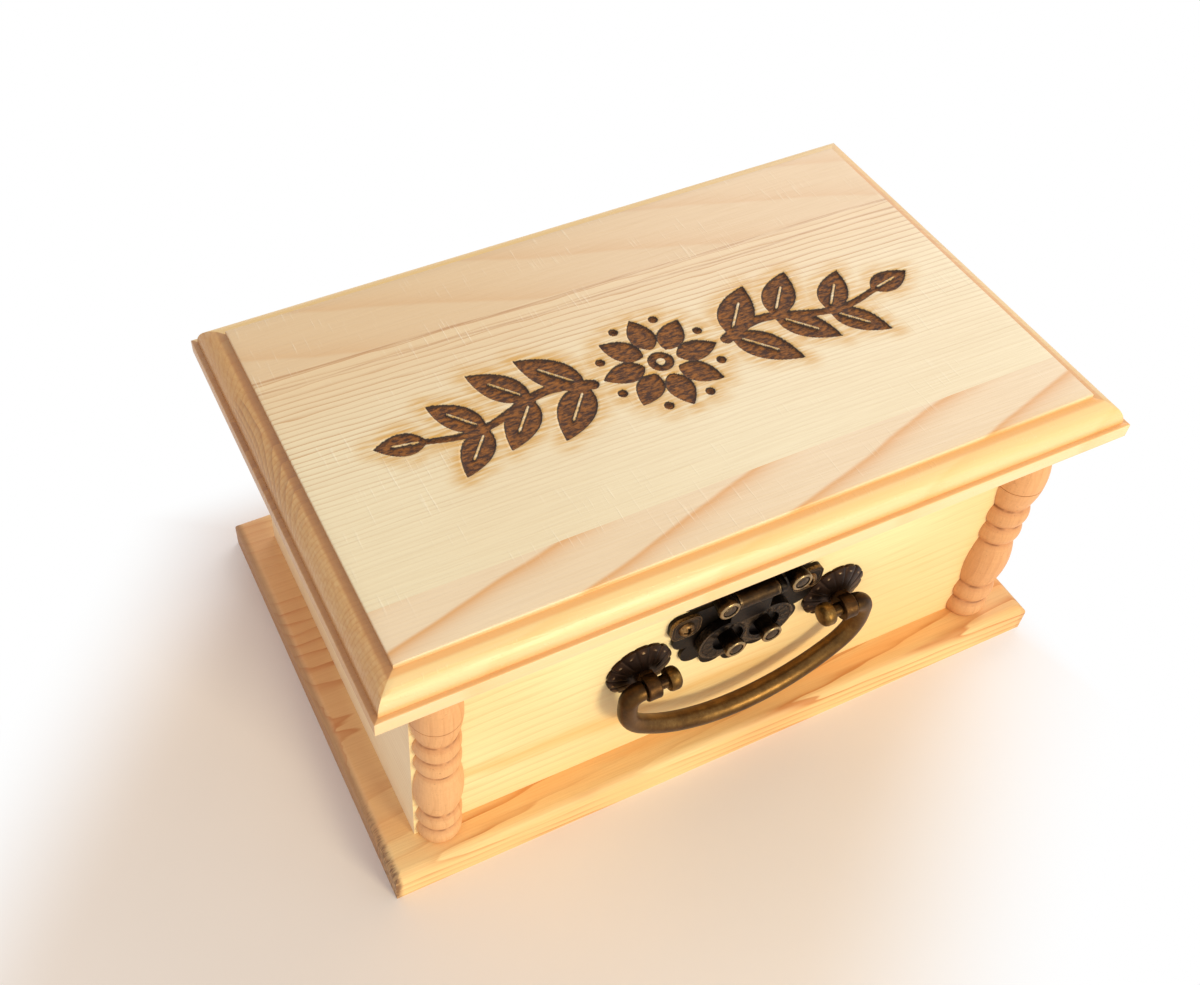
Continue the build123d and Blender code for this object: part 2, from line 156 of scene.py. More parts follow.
def new_material(name):
    """An empty material with its tree and the object's own coordinates in millimetres."""
    material = bpy.data.materials.new(name)
    material.use_nodes = True
    tree = material.node_tree
    tree.nodes.clear()
    place = Wire.add(tree, "ShaderNodeTexCoord", output="Object")
    axes = [Wire.add(tree, "ShaderNodeSeparateXYZ", inputs={0: place}, output=i) / MM for i in range(3)]
    return material, tree, axes


def noise(x, y, z, detail=2.0, roughness=0.5):
    """Cloudy values about a half, over three coordinates that are already scaled."""
    tree = next(v.tree for v in (x, y, z) if isinstance(v, Wire))
    place = Wire.add(tree, "ShaderNodeCombineXYZ", inputs={0: x, 1: y, 2: z})
    return Wire.add(tree, "ShaderNodeTexNoise", {"noise_dimensions": "3D"},
                    {"Vector": place, "Scale": 1.0, "Detail": detail, "Roughness": roughness})


def attribute(tree, name):
    """A number per point of the mesh."""
    return Wire.add(tree, "ShaderNodeAttribute", {"attribute_name": name}, output="Fac")


def finish_material(tree, colour, roughness, height, relief, metallic=0.0, specular=0.5):
    """Close a material with a Principled shader; relief is the bump's height in millimetres."""
    bump = Wire.add(tree, "ShaderNodeBump", inputs={
        "Strength": 1.0, "Distance": relief * MM, "Height": height})
    shader = Wire.add(tree, "ShaderNodeBsdfPrincipled", inputs={
        "Base Color": colour, "Roughness": roughness, "Metallic": metallic,
        "Specular IOR Level": specular, "Normal": bump})
    Wire.add(tree, "ShaderNodeOutputMaterial", inputs={"Surface": shader})


def dress(material, *names):
    """Give CAD nodes a material."""
    for name in names:
        nodes[name].data.materials.clear()
        nodes[name].data.materials.append(material)


print("white in linear light:", rgba((255, 255, 255)))

# %% [markdown]
# ## The paper floor
# The box stands on warm white paper that fades to plain white towards the back, the sides and the distance.
# That white is light the paper gives off, but only for rays that come from the camera or from a mirror, so it
# adds no light to the box, and the shade beside the box stays.

# %% Floor
WHITE = (255, 255, 255)
PAPER_TONES = (244, 234, 231), (247, 237, 234)
LEFT_FADE, RIGHT_FADE, SIDE_FADE = (155.0, 235.0), (140.0, 260.0), (98.0, 122.0)
BACK_FADE, FAR_START, FAR_END = (66.0, 100.0), 330.0, 600.0


def seen_ray(tree):
    """1 where a ray comes from the camera, a mirror or glass, 0 where it only brings light."""
    camera_ray, glossy, through = [Wire.add(tree, "ShaderNodeLightPath", output=name) for name in (
        "Is Camera Ray", "Is Glossy Ray", "Is Transmission Ray")]
    return camera_ray.most(glossy).most(through)


floor_mesh = bpy.data.meshes.new("paper")
floor_mesh.from_pydata([(-3, -3, 0), (3, -3, 0), (3, 3, 0), (-3, 3, 0)], [], [(0, 1, 2, 3)])
floor = bpy.data.objects.new("paper", floor_mesh)
bpy.context.scene.collection.objects.link(floor)
paper, tree, (x, y, z) = new_material("paper")
sheet = Wire.add(tree, "ShaderNodeBsdfPrincipled", inputs={
    "Base Color": noise(x * 0.02, y * 0.02, 0.0).blend(*PAPER_TONES), "Roughness": 0.9})
glow = Wire.add(tree, "ShaderNodeEmission", inputs={"Color": rgba(WHITE), "Strength": 1.0})
left_far = (y * 0.9 - x).smooth(*LEFT_FADE)
right_far = (x - y * 1.2).smooth(*RIGHT_FADE).most(x.smooth(*SIDE_FADE))
distant = (x * x + y * y).smooth(FAR_START ** 2, FAR_END ** 2)
far = left_far.most(right_far).most(y.smooth(*BACK_FADE)).most(distant)
mixed = Wire.add(tree, "ShaderNodeMixShader", inputs={0: far * seen_ray(tree), 1: sheet, 2: glow})
Wire.add(tree, "ShaderNodeOutputMaterial", inputs={"Surface": mixed})
floor_mesh.materials.append(paper)
print("floor:", floor.name)

# %% [markdown]
# ## Light
# Three lights make the picture: a soft sky, a window at the right and a little behind, whose shade falls to
# the left, and a warm low lamp in front and to the right, which makes the front glow. The sky looks plain
# white to the camera and to mirrors and lights the box with less.

# %% Sky and lamps
AMBIENT = 0.68
SKY_LIGHT = (255, 251, 245)
BOX_MIDDLE = (0, 0, 0.05)

world = bpy.data.worlds.new("white_sky")
bpy.context.scene.world = world
world.use_nodes = True
sky = world.node_tree
sky.nodes.clear()
seen = seen_ray(sky)
background = Wire.add(sky, "ShaderNodeBackground", inputs={
    "Color": seen.blend(SKY_LIGHT, WHITE), "Strength": seen * (1 - AMBIENT) + AMBIENT})
Wire.add(sky, "ShaderNodeOutputWorld", inputs={"Surface": background})


def softbox(name, place, size, power, colour):
    """A square area light that looks from its place to the box's middle."""
    lamp = bpy.data.lights.new(name, "AREA")
    lamp.shape, lamp.size, lamp.energy = "SQUARE", size, power
    lamp.color = rgba(colour)[:3]
    holder = bpy.data.objects.new(name, lamp)
    way = Vector(BOX_MIDDLE) - Vector(place)
    holder.matrix_world = way.to_track_quat("-Z", "Y").to_matrix().to_4x4()
    holder.matrix_world.translation = place
    bpy.context.scene.collection.objects.link(holder)


softbox("window", (0.80, 0.66, 0.75), size=0.8, power=4.4, colour=(250, 252, 255))
softbox("front_lamp", (0.30, -1.14, 0.40), size=0.35, power=8.2, colour=(255, 245, 202))
bpy.context.scene.view_settings.view_transform = "Standard"

# %% [markdown]
# ## Pine
# A board is a slice of a log, so its figure is worked out in three dimensions: rings are cylinders about the
# log's heart, which lies somewhere beside the board and leans a little. Cut lengthwise they show as lines and
# arches, and at the board's end as arcs, and both agree at the corner. Each ring darkens slowly and ends
# suddenly. Fine fibres run along the grain on top.

# %% Pine figure
def pine_figure(axes, along, heart, lean, ring, sway=5.0, shake=0.6, edge=4.0):
    """Ring darkness and fibre at a point of a board.

    With a along the grain and b, c across it, the distance from the heart is
    r = sqrt((b - heart_b + lean_b a + sway)^2 + (c - heart_c + lean_c a)^2), and the ring's share is the
    fraction of r / ring. A power of it, edge, is dark only near each ring's end; shake makes the rings waver.
    """
    a, b, c = [axes["XYZ".index(letter)] for letter in along]
    drift = noise(a * 0.006, b * 0.025, c * 0.025, detail=1.0) - 0.5
    shiver = noise(a * 0.045, b * 0.35, c * 0.35, detail=1.0) - 0.5
    across = b - heart[0] + a * lean[0] + drift * (2 * sway)
    below = c - heart[1] + a * lean[1] + drift * sway
    radius = (across * across + below * below) ** 0.5
    count = radius / ring + shiver * shake
    share = count.fraction()
    late = share ** edge * share.smooth(1.0, 0.93)
    uneven = noise(count * 0.31, a * 0.004, 0.0, detail=1.0)
    fibre = noise(a * 0.05, b * 2.1, c * 2.1, detail=3.0, roughness=0.6)
    return late * (uneven * 1.5 + 0.15), fibre


def pine_colour(axes, late, fibre, pale, dark, strength):
    """Pale ground that warms slowly, darkened at the rings, which fade in places, and slightly by fibres."""
    x, y, z = axes
    slow = noise(x * 0.011, y * 0.011, z * 0.011, detail=1.0)
    warm = tuple(np.array(dark) * 0.35 + np.array(pale) * 0.65)
    ground = slow.smooth(0.35, 0.72).blend(pale, warm)
    fade = noise(x * 0.02, y * 0.03, z * 0.05, detail=2.0).smooth(0.36, 0.66) * 0.85 + 0.15
    ringed = (late * fade * (1.35 * strength)).least(1.0).blend(ground, dark)
    return (fibre.smooth(0.35, 0.7) * 0.16).blend(ringed, tuple(np.array(dark) * 0.9))


def finish_board(tree, colour, late, fibre, rough=0.42, relief=0.09):
    """Close a board's material: the fibres make it rougher, and fibres and rings stand up a little."""
    finish_material(tree, colour, rough + fibre * 0.2, fibre * 0.6 + late * 0.4, relief)


print("a ring's darkness halfway and near its end:", [round(share ** 4.0, 2) for share in (0.5, 0.9)])

# %% [markdown]
# ## Back and sides
# Three panels and the lid's rails above them are plain boards. Each rail was sawn from the same board as its
# panel, so the two share one material, and the grain runs on across the seam. The left board is painted paler
# than the others: painted light on the shaded left side.

# %% Panel materials
BOARD_PALE, BOARD_DARK = (245, 222, 180), (208, 160, 104)


def panel(side, along, heart, lean, ring, strength=0.55, pale=BOARD_PALE):
    """A plain pine board for one side's panel and rail."""
    material, tree, axes = new_material(f"{side}_pine")
    late, fibre = pine_figure(axes, along, heart, lean, ring)
    finish_board(tree, pine_colour(axes, late, fibre, pale, BOARD_DARK, strength), late, fibre)
    dress(material, f"{side}_panel", f"lid_{side}_rail")


panel("back", "XYZ", (60.0, -40.0), (0.0, 0.03), 2.8)
# painted light: the left panel gets a paler ground, as if more lit
panel("left", "YXZ", (-140.0, 120.0), (0.01, 0.03), 2.2, 0.3, (255, 232, 196))
panel("right", "YXZ", (150.0, -60.0), (0.01, 0.02), 2.5)
print("pine boards:", sum(m.name.endswith("pine") for m in bpy.data.materials))

# %% [markdown]
# ## The front panel
# The front is the calmest board: wide rings with soft lines, and one broad amber band of late wood that
# crosses its lower left part. The band follows a slanting line and wavers a little.

# %% Front material
FRONT_PALE, FRONT_DARK, FRONT_AMBER = (253, 233, 184), (230, 172, 104), (238, 184, 108)
BAND_HEIGHT, BAND_SLOPE, BAND_HALF, BAND_WANDER = 28.0, -0.06, 6.5, 14.0

front_pine, tree, axes = new_material("front_pine")
x, y, z = axes
late, fibre = pine_figure(axes, "XYZ", (-58.0, 250.0), (0.0, 0.02), 4.4)
colour = pine_colour(axes, late, fibre, FRONT_PALE, FRONT_DARK, 0.36)
wander = noise(x * 0.025, 0.0, z * 0.05, detail=2.0) - 0.5
off_band = abs(z - BAND_HEIGHT - x * BAND_SLOPE + wander * BAND_WANDER)
band = off_band.smooth(BAND_HALF, 0.0) * (0.35 + fibre * 0.4) * x.smooth(60.0, -10.0)
finish_board(tree, band.blend(colour, FRONT_AMBER), late, fibre)
dress(front_pine, "front_panel", "lid_front_rail")
print("front panel: band of", 2 * BAND_HALF, "mm")

# %% [markdown]
# ## The base board
# The base is a plain board whose grain runs along the front, so its ends show end grain. End grain drinks
# more varnish and turns browner. The right end keeps less of that brown: painted light from the window. We
# find
# the end grain by place: the last millimetres of the length. The saw tore the left end near the front, which
# shows as short dark strokes, and an amber streak runs along the foot of the front panel. The top beside the
# box's left side is painted darker: painted shade.

# %% Base material
BASE_PALE, BASE_DARK, BASE_AMBER = (254, 217, 156), (208, 138, 76), (250, 172, 94)
SHADY_SIDE, END_BROWN, TORN_BROWN = (204, 138, 94), (158, 112, 74), (116, 76, 46)
BASE_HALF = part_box("base_board")[1][0] / MM

base_pine, tree, axes = new_material("base_pine")
x, y, z = axes
late, fibre = pine_figure(axes, "XYZ", (-25.0, -70.0), (0.0, 0.05), 2.6)
colour = pine_colour(axes, late, fibre, BASE_PALE, BASE_DARK, 1.5)
streak = noise(x * 0.02, y * 0.12, z * 0.1, detail=2.0)
amber = y.smooth(-69.5, -64.0) * y.smooth(-50.0, -56.0) * streak.smooth(0.3, 0.6)
colour = (amber * 0.42).blend(colour, BASE_AMBER)
# painted shade: the base's top beside the box's left side is tinted darker
colour = (x.smooth(-98.0, -106.0) * y.smooth(-68.0, -48.0) * 0.5).blend(colour, SHADY_SIDE)
# painted light: the right end keeps only 0.4 of the end grain's brown, as if paled by the window
end_grain_and_right_light = abs(x).smooth(BASE_HALF - 2.6, BASE_HALF - 0.6) * (x < 0.0).most(0.4)
layers = noise(x * 0.1, y * 0.12, z * 1.6, detail=2.0)
colour = (end_grain_and_right_light * (0.45 + layers * 0.5)).blend(colour, END_BROWN)
strokes = noise(x * 0.3, y * 2.0, z * 0.3 + y * 0.5, detail=2.0).smooth(0.46, 0.60)
torn = strokes * y.smooth(-34.0, -68.0)
colour = (end_grain_and_right_light * torn * x.smooth(0.0, -1.0) * 0.8).blend(colour, TORN_BROWN)
finish_board(tree, colour, late, fibre, rough=0.44, relief=0.1)
dress(base_pine, "base_board")
print("base half length:", round(BASE_HALF, 1))

# %% [markdown]
# ## The burnt ornament
# The lid carries a burnt-in ornament: a rosette with a leafy spray on each side, an old folk pattern. We
# describe it by a signed distance: below zero inside a cut, above zero outside, in millimetres. One number
# per point then gives the cut's depth, its dark rim and the yellow scorch around it, all with crisp edges.

# %% Signed distances of the ornament
PETALS, PETAL_FOOT, PETAL_LENGTH, PETAL_WIDTH = 8, 5.2, 13.5, 4.1
CORE_RING, CORE_HALF, DOT, DOT_RING = 2.6, 1.3, 1.5, 17.4
STEM_START, STEM_REACH, STEM_SWAY, STEM_WIDTH, STEM_POINTS = 22.0, 52.0, 3.6, 1.9, 61
LEAF_LENGTH, LEAF_WIDTH, LEAF_TURN, LEAF_PAIRS = 22.5, 5.6, 0.86, (0.04, 0.35, 0.66)
TIP_LENGTH, TIP_WIDTH, TIP_TURN, TIP_OVERLAP = 15.0, 4.2, 0.2, 1.0
VEIN, NO_VEIN, VEIN_MIDDLE, VEIN_HALF = 0.32, -9.0, 0.40, 0.24


def leaf_distance(px, py, base, angle, length, width, vein=VEIN):
    """Distance to a pointed leaf: across its axis, less a half width that swells as 1 - (2u - 1)^2 along it.

    A vein of this half width is left standing along the leaf's first half; a negative one leaves none.
    """
    ca, sa = math.cos(angle), math.sin(angle)
    u = ((px - base[0]) * ca + (py - base[1]) * sa) / length
    v = np.abs(-(px - base[0]) * sa + (py - base[1]) * ca)
    skew = np.clip(u, 0, 1) ** 0.8
    half = width * (1 - (2 * skew - 1) ** 2)
    beyond = np.maximum(np.maximum(-u, u - 1), 0) * length
    ridge = vein - v - np.maximum(np.abs(u - VEIN_MIDDLE) - VEIN_HALF, 0) * length
    return np.maximum(np.hypot(np.maximum(v - half, 0), beyond) + np.minimum(v - half, 0) * 0.8, ridge)


def stem_line(t):
    """The spray's stem for t from 0 to 1: it runs outwards and sways as one wave that slowly dies away."""
    return STEM_START + STEM_REACH * t, STEM_SWAY * np.sin(2.0 * math.pi * t) * (1.0 - 0.35 * t)


def rosette_distance(px, py):
    """Distance to the rosette: one petal folded round by its angle, a dot between petals, and a core ring."""
    radius, angle = np.hypot(px, py), np.arctan2(py, px)
    turn = 2 * math.pi / PETALS
    folded = (angle + turn / 2) % turn - turn / 2
    petal_x, petal_y = radius * np.cos(folded), radius * np.sin(folded)
    petal = leaf_distance(petal_x, petal_y, (PETAL_FOOT, 0.0), 0.0, PETAL_LENGTH, PETAL_WIDTH, NO_VEIN)
    between = angle % turn - turn / 2
    dot = np.hypot(radius * np.cos(between) - DOT_RING, radius * np.sin(between)) - DOT
    return np.minimum(np.minimum(petal, dot), np.abs(radius - CORE_RING) - CORE_HALF)


def ornament_distance(px, py):
    """Distance to the whole ornament, mirrored left to right: rosette, tapering stem and leaves."""
    best = rosette_distance(px, py)
    side = np.abs(px)
    t = np.linspace(0, 1, STEM_POINTS)
    sx, sy = stem_line(t)
    for x0, y0, x1, y1, share in zip(sx, sy, sx[1:], sy[1:], t):
        dx, dy = x1 - x0, y1 - y0
        h = np.clip(((side - x0) * dx + (py - y0) * dy) / (dx ** 2 + dy ** 2), 0, 1)
        away = np.hypot(side - x0 - h * dx, py - y0 - h * dy)
        best = np.minimum(best, away - STEM_WIDTH * (1.0 - 0.45 * share))
    for share in LEAF_PAIRS:
        base = stem_line(share)
        length, width = [size * (1.0 - 0.25 * share) for size in (LEAF_LENGTH, LEAF_WIDTH)]
        for way in (-1, 1):
            best = np.minimum(best, leaf_distance(side, py, base, way * LEAF_TURN, length, width))
    x0, y0 = stem_line(1.0)
    tip = leaf_distance(side, py, (x0 - TIP_OVERLAP, y0), TIP_TURN, TIP_LENGTH, TIP_WIDTH)
    return np.minimum(best, tip)


sample = ornament_distance(*np.meshgrid(np.linspace(-90, 90, 361), np.linspace(-30, 30, 121)))
print("burnt share of its field:", round(float((sample < 0).mean()), 3))

# %% [markdown]
# ## From arrays to pieces
# Every new piece is a grid of points worked out with numpy. These helpers number the grid's faces, carry a
# profile round an axis, set copies on the box, and turn points and faces into an object that rides on its
# body.

# %% Mesh helpers
WELD = 1e-7


def grid_quads(rows, columns, wrap=False):
    """Corner numbers of the quads of a rows by columns grid; wrap joins the last column to the first."""
    i, j = np.meshgrid(np.arange(rows - 1), np.arange(columns if wrap else columns - 1), indexing="ij")
    k = (j + 1) % columns
    near, far = i * columns, (i + 1) * columns
    return np.stack([near + j, near + k, far + k, far + j], -1).reshape(-1, 4)


def polar(radius, angle, height):
    """Points and quads of a grid round an axis: x = r cos a, y = r sin a, z = height."""
    points = np.stack([radius * np.cos(angle), radius * np.sin(angle), height + 0 * angle], -1)
    return points.reshape(-1, 3), grid_quads(*points.shape[:2], wrap=True)


def turned(profile, around):
    """A profile of (radius, height) rows carried round an axis in this number of steps."""
    radius, height = np.array(profile, dtype=float).T[:, :, None]
    return polar(radius, np.linspace(0, 2 * math.pi, around, endpoint=False), height)


def copies(points, faces, places):
    """Copies of a shape, each moved to an origin, with its z axis pointing out and its x along across."""
    moved = []
    for origin, out, across in places:
        axes = np.array([across, np.cross(out, across), out], dtype=float)
        moved.append(points @ axes + np.array(origin, dtype=float))
    return np.concatenate(moved), np.concatenate([faces + len(points) * i for i in range(len(places))])


def box_mm(node):
    """A node's lowest and highest corners in millimetres."""
    return [np.array(corner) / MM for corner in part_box(node)]


def new_piece(name, points_mm, faces, material, body, slot, replaced, sharp, **marks):
    """A mesh object from points in millimetres: welded, turned outwards, shaded, riding on its body.

    Each mark is a number per point, kept as an attribute of that name for the material.
    """
    mesh = bpy.data.meshes.new(name)
    mesh.from_pydata((np.asarray(points_mm) * MM).tolist(), [], [list(f) for f in faces])
    for mark, values in marks.items():
        mesh.attributes.new(mark, "FLOAT", "POINT").data.foreach_set("value", values.astype(np.float32))
    shell = bmesh.new()
    shell.from_mesh(mesh)
    bmesh.ops.remove_doubles(shell, verts=shell.verts, dist=WELD)
    bmesh.ops.recalc_face_normals(shell, faces=shell.faces)
    shell.to_mesh(mesh)
    shell.free()
    mesh.shade_smooth()
    mesh.set_sharp_from_angle(angle=math.radians(sharp))
    mesh.materials.append(material)
    piece = bpy.data.objects.new(name, mesh)
    bpy.context.scene.collection.objects.link(piece)
    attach(piece, body)
    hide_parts(*replaced)
    print(name, "has", len(mesh.polygons), "faces")


print("a wrapped grid of 3 by 8 points has", len(grid_quads(3, 8, wrap=True)), "quads")

# %% [markdown]
# ## The lid's moulding
# A cutter ran round all four edges of the lid and left a lip, a ledge, an ovolo and a top fillet. We write
# that as a profile: rows of how far in from the edge and how high above the underside, with each arris eased
# by half a millimetre. The ovolo is an arc that starts upright on the ledge.

# %% Lid profile
low, high = box_mm("lid_board")
HALF_X, HALF_Y, LID_LOW, LID_TOP = high[0], high[1], low[2], high[2]
EASE, LIP, LEDGE, OVOLO, FILLET, STEP, NICK = 0.5, 5.2, 1.6, 5.2, 2.0, 1.4, 0.15
THICK, MOULDING = LID_TOP - LID_LOW, LEDGE + OVOLO + FILLET
SHELF = THICK - STEP

ovolo_height = THICK - LIP - STEP
ovolo_radius = (OVOLO ** 2 + ovolo_height ** 2) / (2 * OVOLO)
climb = np.linspace(0, math.asin(ovolo_height / ovolo_radius), 14)
ovolo = np.stack([LEDGE + ovolo_radius * (1 - np.cos(climb)), LIP + ovolo_radius * np.sin(climb)], 1)
quarter = np.linspace(0, math.pi / 2, 5)
ease = np.stack([1 - np.cos(quarter), np.sin(quarter) - 1], 1) * EASE
corner = [(MOULDING - NICK, SHELF), (MOULDING, SHELF + NICK)]
profile = np.concatenate([
    ease[::-1] * (1, -1), ease + (0.0, LIP), ovolo, corner, ease + (MOULDING, THICK)])
print("moulding:", round(MOULDING, 1), "mm wide,", len(profile), "rows")

# %% [markdown]
# ## The carved lid
# The lid is one mesh. Its top is a grid that is fine where the ornament lies and coarse elsewhere, lowered
# inside the cuts. Its edge is the profile carried round the grid's boundary. Both share their boundary
# points, and one flat face closes the underside, so the shell is closed.

# %% Lid mesh
ORNAMENT_X, ORNAMENT_Y, FIELD_X, FIELD_Y, FINE = 3.0, -1.0, 92.0, 25.0, 0.45
CUT_DEPTH, CUT_START, CUT_RUN, UNBURNT = 0.9, 0.15, 0.75, 60.0


def field_lines(reach, middle, field, coarse):
    """Grid lines from -reach to reach: fine steps over the ornament's field and coarse ones beside it."""
    first, last = middle - field, middle + field
    lines = [np.linspace(-reach, first, coarse), np.linspace(last, reach, coarse),
             np.arange(first, last, FINE)]
    return np.unique(np.concatenate(lines).round(4))


def boundary(xs, ys):
    """The grid's outline as one loop of (x, y) rows: front, right side, back and left side."""
    sides = (xs[:-1], ys[0]), (xs[-1], ys[:-1]), (xs[:0:-1], ys[-1]), (xs[0], ys[:0:-1])
    return np.concatenate([np.stack(np.broadcast_arrays(*side), 1) for side in sides])


top_x, top_y = HALF_X - profile[-1, 0], HALF_Y - profile[-1, 0]
xs = field_lines(top_x, ORNAMENT_X, FIELD_X, 8)
ys = field_lines(top_y, ORNAMENT_Y, FIELD_Y, 14)
gx, gy = np.meshgrid(xs, ys)
distance = ornament_distance(gx - ORNAMENT_X, gy - ORNAMENT_Y)
cut = np.clip((CUT_START - distance) / CUT_RUN, 0, 1)
depth = CUT_DEPTH * cut * cut * (3 - 2 * cut)
top = np.stack([gx, gy, LID_TOP - depth], -1).reshape(-1, 3)

rim = boundary(xs, ys)
scale = np.stack([(HALF_X - profile[:, 0]) / top_x, (HALF_Y - profile[:, 0]) / top_y], 1)
level = np.broadcast_to((LID_LOW + profile[:, 1])[:, None, None], (len(profile), len(rim), 1))
edge = np.concatenate([rim[None] * scale[:, None], level], 2).reshape(-1, 3)
faces = list(grid_quads(len(ys), len(xs))) + list(grid_quads(len(profile), len(rim), wrap=True) + len(top))
faces.append(np.arange(len(rim))[::-1] + len(top))
burn = np.concatenate([distance.ravel(), np.full(len(edge), UNBURNT)])
print("lid top grid:", len(xs), "by", len(ys), "points, with its edge", len(top) + len(edge))

# %% [markdown]
# ## The lid's planks
# Three planks are glued side by side. The middle one shows fine lines, strong at the back and fading towards
# the front, with two bold lines along its back joint. The other two were cut flat, so each ring crosses them
# as a long slanting streak, sharp on one side. Short pale marks across the grain are left by the planer.

# %% Plank colours
FRONT_JOINT, BACK_JOINT, JOINT_SLOPE, BOLD_LINES = -46.7, 36.3, 0.027, (35.8, 31.2)
MIDDLE_FRONT, MIDDLE_BACK = (246, 229, 192), (238, 209, 166)
FRONT_GROUND, BACK_GROUND, SLOW_WARMTH = (244, 219, 184), (231, 199, 157), (232, 196, 146)
FINE_LINE, FRONT_STREAK, BACK_STREAK = (200, 144, 84), (228, 162, 88), (218, 164, 104)
BOLD_BROWN, FIBRE_BROWN, PLANED = (186, 126, 70), (196, 152, 102), (255, 244, 220)

lid_pine, tree, axes = new_material("lid_pine")
x, y, z = axes
askew = y + x * JOINT_SLOPE
wave = noise(x * 0.018, y * 0.03, z * 0.03, detail=2.0) - 0.5
front_plank, back_plank = y < FRONT_JOINT, askew > BACK_JOINT
middle = (1 - front_plank) * (1 - back_plank)
late, fibre = pine_figure(axes, "XYZ", (70.0, 45.0), (0.03, 0.0), 1.35, sway=2.5, shake=0.9, edge=5.5)


def slanting_streak(slope, period, start, fade):
    """Dark at the start of each period of x + y / slope, and paler to its end as (1 - share)^fade."""
    share = ((x + y / slope - start + wave * 22.0) / period).fraction()
    return (1 - share) ** fade * share.smooth(0.0, 0.09)


slow = noise(x * 0.012, y * 0.02, z * 0.02, detail=1.0)
middle_ground = askew.smooth(0.0, 36.0).blend(MIDDLE_FRONT, MIDDLE_BACK)
ground = back_plank.blend(front_plank.blend(middle_ground, FRONT_GROUND), BACK_GROUND)
ground = (slow.smooth(0.35, 0.7) * 0.2).blend(ground, SLOW_WARMTH)
lined = askew.smooth(-50.0, 30.0) * 1.15 + 0.10
wood = (late * middle * lined).least(1.0).blend(ground, FINE_LINE)
inset = (HALF_X - abs(x)).least(HALF_Y - abs(y))
flat = inset.smooth(MOULDING - 0.4, MOULDING + 0.2) * 0.7 + 0.3
front_streak = front_plank * slanting_streak(-0.27, 62.0, 113.0, 5.5) * flat * 1.4
back_streak = back_plank * slanting_streak(0.33, 57.0, 155.0, 3.5) * flat * 0.5
wood = back_streak.blend(front_streak.least(1.0).blend(wood, FRONT_STREAK), BACK_STREAK)
first_bold = abs(askew + wave * 2.0 - BOLD_LINES[0]).smooth(0.75, 0.15)
second_bold = abs(askew + wave * 3.0 - BOLD_LINES[1]).smooth(0.6, 0.1) * 0.8
wood = (first_bold.most(second_bold) * fibre.smooth(0.25, 0.6) * 0.75).blend(wood, BOLD_BROWN)
wood = (fibre.smooth(0.35, 0.72) * 0.12).blend(wood, FIBRE_BROWN)
scratches = noise(x * 1.3, y * 0.07, z, detail=1.0).smooth(0.60, 0.74)
planed = scratches * noise(x * 0.03, y * 0.06, z).smooth(0.42, 0.62)
wood = (planed * 0.22).blend(wood, PLANED)
print("joints at", FRONT_JOINT, "and", BACK_JOINT, "mm")

# %% [markdown]
# ## The moulding's colours
# The cutter went through many rings at a flat angle, so the moulding is golden. The flat fillet below the top
# step and the ledge above the lip are painted orange: painted shade on faces that look upwards. At the lid's
# ends it cuts across the grain: the wood drinks more varnish there, turns brown and shows nested arcs, and
# its fillet and ledge are painted dark brown as painted shade. The right end is painted paler: painted window
# light.

# %% Moulding colours
GOLD, HOLLOW_SHADE_ORANGE = (248, 204, 116), (240, 170, 92)
END_TAN, ARC_BROWN, END_HOLLOW_SHADE = (198, 134, 68), (156, 98, 54), (150, 96, 52)
ARC_Y, ARC_RISE, ARC_FLATTEN, ARC_RING, RIGHT_END_PAINTED_LIGHT = 30.0, 1.0, 0.30, 1.1, 0.35
fillet_foot = MOULDING - FILLET

rise = z - LID_LOW
drawn = noise(x * 0.015, y * 0.5, z * 0.5, detail=2.0)
golden = inset.smooth(MOULDING + 0.1, MOULDING - 0.3) * (rise.smooth(LIP, SHELF) * 0.4 + drawn * 0.5)
wood = (golden * 0.9).blend(wood, GOLD)
# painted shade: the flat fillet below the top step and the ledge above the lip are tinted orange
painted_hollow_shade = inset.smooth(fillet_foot - 0.8, fillet_foot + 0.2) * rise.smooth(THICK - 0.5, SHELF + 0.1)
painted_hollow_shade = painted_hollow_shade * rise.smooth(SHELF - 0.9, SHELF - 0.4)
painted_hollow_shade = painted_hollow_shade.most(inset.smooth(LEDGE + 0.5, LEDGE - 0.3) * rise.smooth(LIP - 0.3, LIP - 0.05))
wood = (painted_hollow_shade * y.smooth(60.0, 50.0) * 0.75).blend(wood, HOLLOW_SHADE_ORANGE)
ends = (abs(x) - abs(y) - (HALF_X - HALF_Y)).smooth(-0.3, 0.3)
# painted light: at the right end only part of the end grain's brown is kept, as if bleached by the window
ends = ends * inset.smooth(MOULDING + 0.3, MOULDING - 0.1) * (x < 0.0).most(RIGHT_END_PAINTED_LIGHT)
arcs = noise(y * 0.5, z * 2.0, x * 0.5, detail=3.0)
wood = (ends * (0.35 + arcs * 0.6 + late * 0.3)).least(0.95).blend(wood, END_TAN)
from_heart = (y - ARC_Y) * ARC_FLATTEN
from_heart = (from_heart * from_heart + (rise - ARC_RISE) ** 2.0) ** 0.5
nested = ((from_heart + wave * 3.0) / ARC_RING).fraction() ** 2.0
nested = nested * y.smooth(-24.0, 6.0) * y.smooth(40.0, 34.0)
wood = (ends * nested * 0.6).blend(wood, ARC_BROWN)
# painted shade: at the lid's ends the fillet and ledge are tinted dark brown
wood = (ends * painted_hollow_shade * 0.5).blend(wood, END_HOLLOW_SHADE)
print("arcs every", ARC_RING, "mm")

